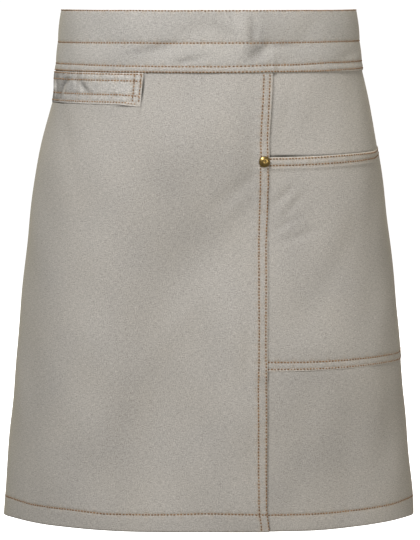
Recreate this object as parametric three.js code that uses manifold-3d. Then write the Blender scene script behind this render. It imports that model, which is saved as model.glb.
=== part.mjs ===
// A waist apron as it hangs when worn: two canvas panels and a patch pocket under a stitched waistband,
// with a strap loop for a hand towel at one hip and a plain tie across the back.
//
// Millimetres, +Z up, the wearer faces -Y. The origin is the middle of the waist, halfway up the waistband.
//
// Every cloth piece is a patch of the flat pattern that is laid on the body:
//   around  distance along the cloth from the front centre line, positive towards +X
//   drop    distance down from the top edge of the waistband
//   lift    distance out from the body side of the panels
import * as THREE from "three";
import { mergeVertices } from "three/addons/utils/BufferGeometryUtils.js";
import Module from "manifold-3d";

const wasm = await Module();
wasm.setup();

// Driving dimensions
const APRON_WIDTH = 700;
const APRON_LENGTH = 500;
const BAND_HEIGHT = 60;
const CLOTH = 1.2;
const GAP = 0.5;
const STATION = 16;

// Waistband: double cloth, with a lip that covers the top of the panels
const BAND_CLOTH = 2.4;
const BAND_PUFF = 0.6;
const BAND_ROWS = [0.8, 31, 53, 58.5];
const LIP_TOP = 50;

// Panels and their hems, turned to the body side
const PANEL_TOP = 52;
const HEM = 16.5;
const SIDE_HEM = 12;
const HEM_TURN = 1.2;

// Lapped seam: the front panel's edge lies over the side panel and the pocket
const SEAM_EDGE = 56.2;
const LAP = 10.5;
const LAP_RISE = 4;
const SEAM_DRIFT = 3.0;
const SEAM_DRIFT_END = 130;
const SEAM_LEAN = 2.4;
const SEAM_LEAN_START = 100;
const HEM_DRIFT = 2.4;

// Patch pocket on the side panel
const MOUTH = 138.5;
const POCKET_LOW = 345.2;
const POCKET_END = 270;
const MOUTH_HEM = 11;
const MOUTH_HEM_CLOTH = 2;
const POCKET_SEWN = 10;
const POCKET_SAG = 10;
const POCKET_SNUG = 190;
const POCKET_SKEW = 0.75;
const POCKET_SWEEP = 4.5;
const POCKET_SWEEP_REACH = [-38, 8];
const HIP_AT_MOUTH = 218;
const HIP_AT_FOOT = 250;

// Strap loop below the waistband, sewn down at both ends
const LOOP_FRONT = -63.5;
const LOOP_BACK = -232;
const LOOP_LOW = 92;
const LOOP_CLOTH = 2.4;
const LOOP_SEWN_FRONT = 11;
const LOOP_SEWN_BACK = 34;
const LOOP_STAND = 11;
const LOOP_SKEW = 1.25;

// Plain tie that closes the back
const TIE_TOP = 17;
const TIE_WIDTH = 26;
const TIE_CLOTH = 1.6;
const TIE_LAP = 24;
const TIE_STEPS = 14;

// Rivet at the corner of the pocket mouth
const RIVET_DROP = 144;
const RIVET_INSET = 5.3;
const RIVET_CAP_RADIUS = 5.4;
const RIVET_DOME = 2.1;
const RIVET_RIM = 0.8;
const RIVET_SHANK_RADIUS = 1.5;
const RIVET_BACK_RADIUS = 4.2;
const RIVET_BACK = 1;
const RIVET_SIDES = 20;

// Level sections of the wrapped cloth, measured to the body side of the panels
const SECTIONS = [
  { drop: 0, halfWidth: 143.0, frontDepth: 101.0, backDepth: 95.0 },
  { drop: 60, halfWidth: 150.0, frontDepth: 107.0, backDepth: 102.0 },
  { drop: 100, halfWidth: 156.8, frontDepth: 110.5, backDepth: 108.0 },
  { drop: 150, halfWidth: 168.0, frontDepth: 114.0, backDepth: 114.0 },
  { drop: 200, halfWidth: 175.0, frontDepth: 116.0, backDepth: 117.0 },
  { drop: 300, halfWidth: 185.5, frontDepth: 117.0, backDepth: 116.0 },
  { drop: 400, halfWidth: 194.9, frontDepth: 118.0, backDepth: 113.0 },
  { drop: 500, halfWidth: 203.0, frontDepth: 119.0, backDepth: 110.0 },
];
const SECTION_POWER = 2.15;
const SECTION_STEPS = 120;
const BACK_DIP = 5;

// Soft folds: each is a ridge (depth over 0) or a valley along a line that leans from the vertical,
// a positive lean taking its upper end towards +X
const FOLDS = [
  { fold: "pull below the rivet", around: 6, drop: 226, halfLength: 90, halfWidth: 40, lean: 52, depth: -7.5 },
  { fold: "ridge above the pull", around: -20, drop: 118, halfLength: 80, halfWidth: 36, lean: 58, depth: 4.0 },
  { fold: "front valley", around: -46, drop: 385, halfLength: 125, halfWidth: 34, lean: 6, depth: -11.0 },
  { fold: "front ridge", around: -98, drop: 270, halfLength: 200, halfWidth: 36, lean: 3, depth: 6.0 },
  { fold: "ridge by the seam", around: 26, drop: 390, halfLength: 120, halfWidth: 26, lean: -4, depth: 6.0 },
  { fold: "fullness at the mouth", around: 140, drop: 150, halfLength: 100, halfWidth: 60, lean: 0, depth: 4.0 },
  { fold: "hollow at the hem", around: 150, drop: 520, halfLength: 110, halfWidth: 70, lean: 0, depth: -5.0 },
  { fold: "fullness at the foot", around: 135, drop: 340, halfLength: 70, halfWidth: 70, lean: 0, depth: 6.0 },
  { fold: "bend in the band", around: 38, drop: 26, halfLength: 34, halfWidth: 13, lean: 6, depth: 1.9 },
  { fold: "dent in the band", around: -50, drop: 44, halfLength: 26, halfWidth: 8, lean: 72, depth: -1.4 },
  { fold: "press of the loop", around: -208, drop: 72, halfLength: 38, halfWidth: 32, lean: 0, depth: -3.4 },
  { fold: "fullness at the hip", around: 212, drop: 98, halfLength: 38, halfWidth: 45, lean: 0, depth: 1.9 },
  { fold: "press of the pocket", around: 236, drop: 243, halfLength: 150, halfWidth: 40, lean: -8, depth: -1.8 },
  { fold: "hip fold at +X", around: 314, drop: 450, halfLength: 150, halfWidth: 24, lean: 2, depth: -4.5 },
  { fold: "hip fold at -X", around: -310, drop: 460, halfLength: 170, halfWidth: 24, lean: -3, depth: -4.0 },
  { fold: "free corner at +X", around: 350, drop: 505, halfLength: 190, halfWidth: 26, lean: 0, depth: 7.0 },
  { fold: "free corner at -X", around: -350, drop: 505, halfLength: 190, halfWidth: 26, lean: 0, depth: 5.0 },
];

const smooth = THREE.MathUtils.smoothstep;

// Body surface

const sectionSizes = new THREE.CubicInterpolant(
  SECTIONS.map((row) => row.drop),
  SECTIONS.flatMap((row) => [row.halfWidth, row.frontDepth, row.backDepth]),
  3,
);
const sectionLines = new Map();

// The half of a level section from the front centre to the back centre on the +X side,
// as points with their distance along the line.
function sectionLine(drop) {
  const key = drop.toFixed(3);
  if (!sectionLines.has(key)) {
    const [halfWidth, frontDepth, backDepth] = sectionSizes.evaluate(drop);
    const points = [];
    for (let i = 0; i <= SECTION_STEPS; i++) {
      const turn = (Math.PI * i) / SECTION_STEPS;
      const depth = turn < Math.PI / 2 ? frontDepth : backDepth;
      points.push(
        new THREE.Vector2(
          halfWidth * Math.abs(Math.sin(turn)) ** (2 / SECTION_POWER),
          -depth * Math.sign(Math.cos(turn)) * Math.abs(Math.cos(turn)) ** (2 / SECTION_POWER),
        ),
      );
    }
    const lengths = [0];
    for (let i = 1; i <= SECTION_STEPS; i++) {
      lengths.push(lengths[i - 1] + points[i].distanceTo(points[i - 1]));
    }
    sectionLines.set(key, { points, lengths, half: lengths[SECTION_STEPS] });
  }
  return sectionLines.get(key);
}

// The point of a section at a distance from the front centre, and the section's outward direction there.
function onSection(line, around) {
  const side = around < 0 ? -1 : 1;
  let distance = Math.abs(around);
  let mirror = side;
  if (distance > line.half) {
    distance = 2 * line.half - distance;
    mirror = -side;
  }
  let i = 1;
  while (i < SECTION_STEPS && line.lengths[i] < distance) i++;
  const [a, b] = [line.points[i - 1], line.points[i]];
  const share = (distance - line.lengths[i - 1]) / (line.lengths[i] - line.lengths[i - 1]);
  const along = b.clone().sub(a).normalize();
  const point = a.clone().lerp(b, share);
  return {
    point: new THREE.Vector2(mirror * point.x, point.y),
    outward: new THREE.Vector2(mirror * along.y, -along.x),
  };
}

function foldDepth(around, drop) {
  let depth = 0;
  for (const fold of FOLDS) {
    const lean = THREE.MathUtils.degToRad(fold.lean);
    const right = around - fold.around;
    const up = fold.drop - drop;
    const along = (right * Math.sin(lean) + up * Math.cos(lean)) / fold.halfLength;
    const across = (right * Math.cos(lean) - up * Math.sin(lean)) / fold.halfWidth;
    depth += fold.depth * Math.exp(-along * along - across * across);
  }
  return depth;
}

// The seam leans towards +X near the waistband and kicks out at the hem, and takes the cloth beside it along.
function seamDrift(around, drop) {
  const beside = Math.exp(-(((around - SEAM_EDGE) / 55) ** 2));
  const high = SEAM_DRIFT * (1 - smooth(drop, BAND_HEIGHT, SEAM_DRIFT_END));
  const lean = SEAM_LEAN * (1 - smooth(drop, SEAM_LEAN_START, POCKET_LOW));
  const low = HEM_DRIFT * smooth(drop, APRON_LENGTH - 1.5 * HEM, APRON_LENGTH);
  return beside * (high + lean + low);
}

// The body side of the panels.
function skin(around, drop) {
  const line = sectionLine(drop);
  const { point, outward } = onSection(line, around + seamDrift(around, drop));
  point.addScaledVector(outward, foldDepth(around, drop));
  const dip = BACK_DIP * smooth(Math.abs(around), APRON_WIDTH / 4, APRON_WIDTH / 2);
  return new THREE.Vector3(point.x, point.y, BAND_HEIGHT / 2 - drop - dip);
}

function outwardAt(around, drop) {
  const step = 3;
  const right = skin(around + step, drop).sub(skin(around - step, drop));
  const up = skin(around, Math.max(drop - step, 0)).sub(skin(around, drop + step));
  return right.cross(up).normalize();
}

function draped(around, drop, lift) {
  return skin(around, drop).addScaledVector(outwardAt(around, drop), lift);
}

// Cloth solids

// Places from one to another: both ends, the extra ones, and multiples of the step between them.
function stations(from, to, step, extra = []) {
  const places = [from, to, ...extra];
  for (let n = Math.ceil(from / step); n * step < to; n++) places.push(n * step);
  places.sort((a, b) => a - b);
  return places.filter((place, i) => i === 0 || place - places[i - 1] > 0.2);
}

// A closed solid over a grid of the pattern, from its inner lift to its outer lift.
function clothGeometry(columns, rows, inner, outer, place = (column, row) => [column, row]) {
  const positions = [];
  const wide = columns.length;
  const deep = rows.length;
  for (const lift of [outer, inner]) {
    for (const row of rows) {
      for (const column of columns) {
        const [around, drop] = place(column, row);
        positions.push(...draped(around, drop, lift(column, row)));
      }
    }
  }
  const at = (layer, i, j) => layer * wide * deep + j * wide + i;
  const index = [];
  const quad = (a, b, c, d) => index.push(a, b, c, a, c, d);
  for (let j = 0; j < deep - 1; j++) {
    for (let i = 0; i < wide - 1; i++) {
      quad(at(0, i, j), at(0, i, j + 1), at(0, i + 1, j + 1), at(0, i + 1, j));
      quad(at(1, i, j), at(1, i + 1, j), at(1, i + 1, j + 1), at(1, i, j + 1));
    }
  }
  for (let i = 0; i < wide - 1; i++) {
    quad(at(0, i, 0), at(0, i + 1, 0), at(1, i + 1, 0), at(1, i, 0));
    quad(at(0, i + 1, deep - 1), at(0, i, deep - 1), at(1, i, deep - 1), at(1, i + 1, deep - 1));
  }
  for (let j = 0; j < deep - 1; j++) {
    quad(at(0, 0, j + 1), at(0, 0, j), at(1, 0, j), at(1, 0, j + 1));
    quad(at(0, wide - 1, j), at(0, wide - 1, j + 1), at(1, wide - 1, j + 1), at(1, wide - 1, j));
  }
  return new THREE.BufferGeometry()
    .setAttribute("position", new THREE.Float32BufferAttribute(positions, 3))
    .setIndex(index);
}

function toSolid(geometry) {
  return new wasm.Manifold(
    new wasm.Mesh({
      numProp: 3,
      vertProperties: new Float32Array(geometry.getAttribute("position").array),
      triVerts: new Uint32Array(geometry.index.array),
    }),
  );
}

function toGeometry(solid) {
  const mesh = solid.getMesh();
  return new THREE.BufferGeometry()
    .setAttribute("position", new THREE.BufferAttribute(mesh.vertProperties, 3))
    .setIndex(new THREE.BufferAttribute(mesh.triVerts, 1));
}

// Layers of the lapped seam

const PANEL_LAYER = CLOTH + GAP;
const SEAM_START = SEAM_EDGE - LAP;

// How far the pocket cloth lies under the lap, from 0 to 1.
function pocketUnderLap(drop) {
  const above = smooth(drop, MOUTH - 14, MOUTH - 2);
  const below = 1 - smooth(drop, POCKET_LOW + 2, POCKET_LOW + 14);
  return above * below;
}

// How far a place has risen onto the lap, from 0 beside it to 1 on it.
function onLap(around) {
  return smooth(around, SEAM_START - LAP_RISE, SEAM_START - GAP);
}

function lapLift(around, drop) {
  return onLap(around) * PANEL_LAYER * (1 + pocketUnderLap(drop));
}

function hemTurn(around, drop) {
  const low = drop > APRON_LENGTH - HEM;
  const side = Math.abs(around) > APRON_WIDTH / 2 - SIDE_HEM;
  return low || side ? -HEM_TURN : 0;
}

const PANEL_ROWS = stations(PANEL_TOP, APRON_LENGTH, 25, [
  BAND_HEIGHT,
  MOUTH - 14,
  MOUTH - 2,
  POCKET_LOW + 2,
  POCKET_LOW + 14,
  APRON_LENGTH - HEM,
  APRON_LENGTH - HEM + 0.4,
]);

function frontPanel() {
  const columns = stations(-APRON_WIDTH / 2, SEAM_EDGE, STATION, [
    -APRON_WIDTH / 2 + SIDE_HEM - 0.4,
    -APRON_WIDTH / 2 + SIDE_HEM,
    SEAM_START - LAP_RISE,
    SEAM_START - GAP,
    SEAM_EDGE - RIVET_INSET,
  ]);
  const inner = (around, drop) => lapLift(around, drop) + hemTurn(around, drop) * (1 - onLap(around));
  const outer = (around, drop) => lapLift(around, drop) + CLOTH;
  return clothGeometry(columns, PANEL_ROWS, inner, outer);
}

function sidePanel() {
  const columns = stations(SEAM_START, APRON_WIDTH / 2, STATION, [
    SEAM_EDGE - RIVET_INSET,
    SEAM_EDGE,
    APRON_WIDTH / 2 - SIDE_HEM,
    APRON_WIDTH / 2 - SIDE_HEM + 0.4,
  ]);
  return clothGeometry(columns, PANEL_ROWS, hemTurn, () => CLOTH);
}

// How far the pocket stands off the side panel: nothing where it is sewn or drawn snug around the hip,
// most at its mouth.
function pocketStand(around, drop) {
  const left = SEAM_EDGE + 2;
  const low = POCKET_LOW - POCKET_SEWN;
  if (around <= left || around >= POCKET_SNUG || drop >= low) return 0;
  const share = (around - left) / (POCKET_SNUG - left);
  const across = Math.sin(Math.PI * share ** POCKET_SKEW) ** 2;
  const down = Math.cos((Math.PI / 2) * ((drop - MOUTH) / (low - MOUTH)));
  return POCKET_SAG * across * down;
}

// The pocket's edges sweep up where they turn round the hip.
function pocketPlace(around, drop) {
  const share = (drop - MOUTH) / (POCKET_LOW - MOUTH);
  const turn = HIP_AT_MOUTH + (HIP_AT_FOOT - HIP_AT_MOUTH) * share;
  const [before, after] = POCKET_SWEEP_REACH;
  return [around, drop - POCKET_SWEEP * smooth(around, turn + before, turn + after)];
}

function pocket() {
  const columns = stations(SEAM_START, POCKET_END, STATION, [
    SEAM_EDGE - RIVET_INSET,
    SEAM_EDGE,
    SEAM_EDGE + 2,
    POCKET_SNUG,
  ]);
  const rows = stations(MOUTH, POCKET_LOW, 25, [
    MOUTH + MOUTH_HEM,
    MOUTH + MOUTH_HEM + 0.4,
    POCKET_LOW - POCKET_SEWN,
  ]);
  const inner = (around, drop) => PANEL_LAYER + pocketStand(around, drop);
  const outer = (around, drop) => {
    const hemmed = drop <= MOUTH + MOUTH_HEM && around > SEAM_EDGE + 1;
    return inner(around, drop) + (hemmed ? MOUTH_HEM_CLOTH : CLOTH);
  };
  return clothGeometry(columns, rows, inner, outer, pocketPlace);
}

function waistband() {
  const end = APRON_WIDTH / 2;
  const columns = stations(-end, end, STATION, [
    SEAM_START - LAP_RISE,
    SEAM_START - GAP,
    SEAM_EDGE,
    SEAM_EDGE + LAP_RISE,
  ]);
  const puffRows = BAND_ROWS.slice(1).map((row, i) => (row + BAND_ROWS[i]) / 2);
  const rows = stations(0, BAND_HEIGHT, BAND_HEIGHT, [...BAND_ROWS, ...puffRows, LIP_TOP, LIP_TOP + 0.4]);
  const overLap = (around) => onLap(around) * (1 - smooth(around, SEAM_EDGE + GAP, SEAM_EDGE + LAP_RISE));
  const lipLift = (around) => PANEL_LAYER * (1 + overLap(around));
  const onLip = (drop) => drop > LIP_TOP + 0.2;
  const puff = (drop) => {
    const next = BAND_ROWS.findIndex((row) => drop < row);
    if (next < 1) return 0;
    const share = (drop - BAND_ROWS[next - 1]) / (BAND_ROWS[next] - BAND_ROWS[next - 1]);
    return BAND_PUFF * Math.sin(Math.PI * share);
  };
  const inner = (around, drop) => (onLip(drop) ? lipLift(around) : 0);
  const outer = (around, drop) => {
    const onPanel = smooth(drop, LIP_TOP - 14, LIP_TOP) * (lipLift(around) + CLOTH - BAND_CLOTH);
    return BAND_CLOTH + onPanel + puff(drop);
  };
  return clothGeometry(columns, rows, inner, outer);
}

// The strap stands off the panel between its sewn ends, so that a towel goes through.
function loopStand(around) {
  const front = LOOP_FRONT - LOOP_SEWN_FRONT;
  const back = LOOP_BACK + LOOP_SEWN_BACK;
  if (around >= front || around <= back) return 0;
  const share = (around - back) / (front - back);
  return LOOP_STAND * Math.sin(Math.PI * share ** LOOP_SKEW) ** 2;
}

function towelLoop() {
  const columns = stations(LOOP_BACK, LOOP_FRONT, STATION / 2, [
    LOOP_FRONT - LOOP_SEWN_FRONT,
    LOOP_BACK + LOOP_SEWN_BACK,
  ]);
  const rows = stations(BAND_HEIGHT + GAP, LOOP_LOW, 8);
  const inner = (around) => PANEL_LAYER + loopStand(around);
  const outer = (around) => inner(around) + LOOP_CLOTH;
  return clothGeometry(columns, rows, inner, outer);
}

function backTie() {
  const shares = Array.from({ length: TIE_STEPS + 1 }, (_, i) => i / TIE_STEPS);
  const rows = stations(TIE_TOP, TIE_TOP + TIE_WIDTH, TIE_WIDTH / 2);
  const start = APRON_WIDTH / 2 - TIE_LAP;
  const place = (share, drop) => {
    const finish = 2 * sectionLine(drop).half - start;
    return [start + share * (finish - start), drop];
  };
  const inner = () => BAND_CLOTH + BAND_PUFF + GAP;
  const outer = () => inner() + TIE_CLOTH;
  return clothGeometry(shares, rows, inner, outer, place);
}

// Rivet

const RIVET_AROUND = SEAM_EDGE - RIVET_INSET;
const RIVET_SEAT = lapLift(RIVET_AROUND, RIVET_DROP) + CLOTH + GAP;

// Turns a geometry made along +Y to stand out of the cloth at the rivet, with its zero at the body side.
function atRivet(geometry) {
  const outward = outwardAt(RIVET_AROUND, RIVET_DROP);
  const turn = new THREE.Quaternion().setFromUnitVectors(new THREE.Vector3(0, 1, 0), outward);
  const place = skin(RIVET_AROUND, RIVET_DROP);
  return geometry.applyMatrix4(new THREE.Matrix4().compose(place, turn, new THREE.Vector3(1, 1, 1)));
}

// A domed cap outside, a shank through the layers and a flat plate on the body side.
function rivet() {
  const profile = [
    new THREE.Vector2(0, -GAP - RIVET_BACK),
    new THREE.Vector2(RIVET_BACK_RADIUS, -GAP - RIVET_BACK),
    new THREE.Vector2(RIVET_BACK_RADIUS, -GAP),
    new THREE.Vector2(RIVET_SHANK_RADIUS, -GAP),
    new THREE.Vector2(RIVET_SHANK_RADIUS, RIVET_SEAT),
    new THREE.Vector2(RIVET_CAP_RADIUS, RIVET_SEAT),
    new THREE.Vector2(RIVET_CAP_RADIUS, RIVET_SEAT + RIVET_RIM),
  ];
  const domeSteps = 5;
  for (let i = 1; i <= domeSteps; i++) {
    const turn = (Math.PI / 2) * (i / domeSteps);
    const radius = i === domeSteps ? 0 : RIVET_CAP_RADIUS * Math.cos(turn);
    profile.push(new THREE.Vector2(radius, RIVET_SEAT + RIVET_RIM + RIVET_DOME * Math.sin(turn)));
  }
  return atRivet(new THREE.LatheGeometry(profile, RIVET_SIDES));
}

function withRivetHole(geometry) {
  const length = 4 * RIVET_SEAT;
  const bore = atRivet(
    new THREE.CylinderGeometry(RIVET_SHANK_RADIUS + GAP, RIVET_SHANK_RADIUS + GAP, length, RIVET_SIDES),
  );
  bore.deleteAttribute("normal");
  bore.deleteAttribute("uv");
  return toGeometry(toSolid(geometry).subtract(toSolid(mergeVertices(bore))));
}

// Assembly

const canvas = new THREE.MeshStandardMaterial({ color: 0xada8a0, roughness: 0.92, metalness: 0 });
const bandCanvas = new THREE.MeshStandardMaterial({ color: 0xb0aca5, roughness: 0.92, metalness: 0 });
const strapCanvas = new THREE.MeshStandardMaterial({ color: 0xa7a196, roughness: 0.92, metalness: 0 });
const brass = new THREE.MeshStandardMaterial({ color: 0xa8883c, roughness: 0.35, metalness: 1 });

function piece(name, geometry, material) {
  const mesh = new THREE.Mesh(geometry, material);
  mesh.name = name;
  return mesh;
}

const apron = new THREE.Group();
apron.name = "bistro_apron";
apron.add(
  piece("waistband", waistband(), bandCanvas),
  piece("front_panel", withRivetHole(frontPanel()), canvas),
  piece("side_panel", withRivetHole(sidePanel()), canvas),
  piece("pocket", withRivetHole(pocket()), canvas),
  piece("towel_loop", towelLoop(), strapCanvas),
  piece("rivet", rivet(), brass),
  piece("back_tie", backTie(), strapCanvas),
);

export default apron;
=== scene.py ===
import math

import bpy
import numpy as np
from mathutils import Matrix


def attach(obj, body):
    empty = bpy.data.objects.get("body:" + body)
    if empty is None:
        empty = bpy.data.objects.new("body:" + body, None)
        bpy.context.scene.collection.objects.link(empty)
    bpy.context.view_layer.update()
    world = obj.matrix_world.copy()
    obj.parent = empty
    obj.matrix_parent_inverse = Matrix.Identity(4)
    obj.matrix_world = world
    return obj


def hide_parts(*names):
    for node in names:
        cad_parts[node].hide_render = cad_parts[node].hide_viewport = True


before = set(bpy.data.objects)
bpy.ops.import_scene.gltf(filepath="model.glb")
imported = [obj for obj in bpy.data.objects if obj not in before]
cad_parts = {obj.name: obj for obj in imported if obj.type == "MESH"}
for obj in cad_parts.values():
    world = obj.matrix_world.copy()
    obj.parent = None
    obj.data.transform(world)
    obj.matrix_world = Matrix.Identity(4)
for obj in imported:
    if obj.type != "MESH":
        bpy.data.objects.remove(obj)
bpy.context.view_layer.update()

# Millimetres throughout, as distances on the flat pattern of the apron:
#   around  along the cloth from the front centre line, positive towards +X
#   drop    down from the top edge of the waistband
#   lift    out from the body side of the panels
MM = 0.001

# The whole apron: flat sizes, one layer of cloth and the gap between layers
APRON_WIDTH = 700.0
HALF = APRON_WIDTH / 2
APRON_LENGTH = 500.0
CLOTH = 1.2
GAP = 0.2
PANEL_LAYER = CLOTH + GAP

# Waistband: its lower edge is a lip over the panels, and it puffs between its stitch rows
BAND_HEIGHT = 60.0
BAND_CLOTH = 2.4
BAND_PUFF = 0.6
BAND_FULL_PUFF = 20.0
BAND_ROWS = (0.9, 31.2, 53.0, 59.0)
LIP_TOP = 50.0
LIP_EASE = 14.0
LIP_STEP = 0.4

# Panels: turned hems, and the seam where the front panel laps over the side panel
PANEL_TOP = 52.0
HEM = 16.5
SIDE_HEM = 12.0
SIDE_ROW = SIDE_HEM - 2
HEM_TURN = 1.2
TURN_STEP = (-0.8, 0.4)
SEAM_EDGE = 56.2
LAP = 10.5
LAP_RISE = 4.0
LAP_EASE = (2.0, 14.0)
SEAM_START = SEAM_EDGE - LAP
SEAM_DRIFT = 3.0
SEAM_DRIFT_END = 130.0
SEAM_DRIFT_WIDTH = 55.0
SEAM_LEAN = 2.4
SEAM_LEAN_START = 100.0
HEM_DRIFT = 2.4

# Pocket: it stands off least at the hip and the foot, and its rows rise and sweep up round the hip
MOUTH = 140.0
POCKET_LOW = 345.2
POCKET_END = 270.0
MOUTH_HEM = 11.0
MOUTH_HEM_STEP = 0.6
MOUTH_HEM_CLOTH = 2.0
POCKET_SEWN = 10.0
POCKET_FREE = SEAM_EDGE + 2
POCKET_SAG = 4.5
POCKET_SKEW = 0.75
POCKET_SNUG = 190.0
POCKET_EDGE_CLOTH = 0.4
POCKET_FLAT = (150.0, 205.0)
FOOT_TAPER = 26.0
MOUTH_RISE = 2.2
FOOT_RISE_LOSS = 0.65
RISE_SPAN = (75.0, 190.0)
POCKET_SWEEP = 4.5
POCKET_TURN = (218.0, 250.0)
SWEEP_SPAN = (-38.0, 8.0)

# Towel strap: nearly flat, its front end cut aslant and a little wider
LOOP_FRONT = -63.3
LOOP_BACK = -232.0
LOOP_LOW = 90.4
LOOP_CLOTH = 1.5
LOOP_EDGE_CLOTH = 0.5
LOOP_SEWN_FRONT = 11.0
LOOP_SEWN_BACK = 34.0
LOOP_STAND = 1.6
LOOP_SKEW = 1.25
LOOP_SPREAD = 1.8
LOOP_FLARE = -90.0
LOOP_SLANT = 3.0
LOOP_SLANT_START = -140.0

# Back tie and rivet
TIE_TOP = 17.0
TIE_WIDTH = 26.0
TIE_CLOTH = 1.6
TIE_LAP = 24.0
TIE_SHARES = 100.0
RIVET_DROP = 144.0
RIVET_AROUND = SEAM_EDGE - 5.3
RIVET_CAP_RADIUS = 5.4
RIVET_FOOT = RIVET_DROP + RIVET_CAP_RADIUS

# Level sections of the wrapped cloth: drop, half width, front depth, back depth
SECTIONS = np.array([
    (0, 143.0, 101.0, 95.0),
    (60, 150.0, 107.0, 102.0),
    (100, 156.8, 110.5, 108.0),
    (150, 168.0, 114.0, 114.0),
    (200, 175.0, 116.0, 117.0),
    (300, 185.5, 117.0, 116.0),
    (400, 194.9, 118.0, 113.0),
    (500, 203.0, 119.0, 110.0),
])
SECTION_POWER = 2.15
BACK_DIP = 5.0
# Places where the hem hangs lower or higher: around, half width, depth
HEM_SAG_START = 440.0
HEM_SAGS = ((-62.0, 45.0, 1.6), (115.0, 55.0, 1.6), (-218.0, 30.0, -1.7), (224.0, 26.0, -1.2))

# Soft folds: around, drop, half length, half width, lean in degrees, depth
FOLDS = (
    (6, 226, 90, 40, 52, -7.5),
    (-20, 118, 80, 36, 58, 4.0),
    (-46, 385, 125, 34, 6, -11.0),
    (-98, 270, 200, 36, 3, 6.0),
    (26, 390, 120, 26, -4, 6.0),
    (140, 150, 100, 60, 0, 4.0),
    (150, 520, 110, 70, 0, -5.0),
    (135, 340, 70, 70, 0, 6.0),
    (38, 26, 34, 13, 6, 1.9),
    (-50, 44, 26, 8, 72, -1.4),
    (-208, 72, 38, 32, 0, -3.4),
    (212, 98, 38, 45, 0, 1.9),
    (236, 243, 150, 40, -8, -1.8),
    (314, 450, 150, 24, 2, -4.5),
    (-310, 460, 170, 24, -3, -4.0),
    (350, 505, 190, 26, 0, 7.0),
    (-350, 505, 190, 26, 0, 5.0),
    # Small bends of the outline, in the scene alone
    (188, 50, 22, 45, 0, -1.7),
    (-190, 66, 14, 45, 0, 1.6),
    (-190, 92, 20, 40, 0, 0.9),
    (232, 255, 75, 45, 0, 1.7),
    (232, 470, 40, 45, 0, 1.7),
)

# Fine creases that only the surface needs, in the same columns, by piece
CREASES = {
    "waistband": (
        (37, 20, 15, 4.2, 3, -2.0),
        (27, 22, 18, 7.0, -4, 1.2),
        (44, 40, 13, 5.0, 52, -2.0),
        (68, 35, 18, 4.0, 86, -0.6),
        (-48, 35.5, 20, 4.0, 80, -1.6),
        (-20, 48, 15, 3.6, 80, -1.1),
        (-14, 20, 30, 9.0, 66, -1.3),
        (96, 20, 20, 9.0, 40, -0.7),
        (-110, 18, 20, 9.0, 60, -0.6),
        (150, 44, 22, 5.0, 78, -0.6),
    ),
    "front_panel": (
        (30, 168, 34, 7.0, 52, -0.9),
        (26, 186, 28, 6.0, 42, 0.6),
        (-20, 100, 46, 14.0, 24, -0.9),
        (-150, 120, 40, 10.0, -18, -0.8),
        (-130, 210, 60, 16.0, 12, -0.9),
        (-30, 300, 50, 10.0, 40, 0.8),
        (-88, 420, 60, 10.0, 8, -0.9),
        (0, 440, 50, 12.0, -8, -0.8),
        (36, 330, 60, 6.0, 4, -0.7),
        (-190, 380, 90, 18.0, -6, -1.2),
    ),
    "side_panel": (
        (72, 100, 26, 6.0, 12, -0.6),
        (110, 118, 26, 9.0, -30, -0.7),
        (150, 90, 26, 9.0, 8, -0.5),
        (90, 420, 60, 12.0, 6, -0.9),
        (140, 440, 60, 14.0, -4, -0.9),
        (190, 400, 60, 14.0, 4, -0.8),
    ),
    "pocket": (
        (72, 176, 13, 3.2, 46, -1.3),
        (80, 188, 15, 3.4, 38, -1.3),
        (74, 204, 12, 3.0, 58, -1.1),
        (86, 216, 18, 4.0, 70, -0.9),
        (120, 250, 50, 12.0, 30, -0.8),
        (96, 300, 40, 10.0, -20, -0.7),
        (160, 300, 50, 14.0, 12, -0.7),
        (170, 200, 40, 12.0, 10, -0.6),
    ),
    "towel_loop": (
        (-177, 74, 9, 2.2, 2, 1.2),
        (-171.5, 74, 10, 2.6, 4, -1.5),
        (-155.5, 77, 7, 3.0, 27, -2.4),
        (-149, 70, 6, 2.8, 55, -1.8),
        (-135.5, 70, 5, 2.4, 0, -1.3),
        (-125, 75, 7, 2.6, -38, -1.9),
        (-158, 63.5, 4, 2.8, 10, -1.3),
        (-143, 63.5, 4, 2.8, 0, -1.2),
        (-130, 63.5, 4, 2.8, 0, -1.2),
    ),
    "back_tie": ((372, 30, 12, 7.0, 30, -0.5), (410, 30, 12, 7.0, -24, -0.5)),
}
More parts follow.
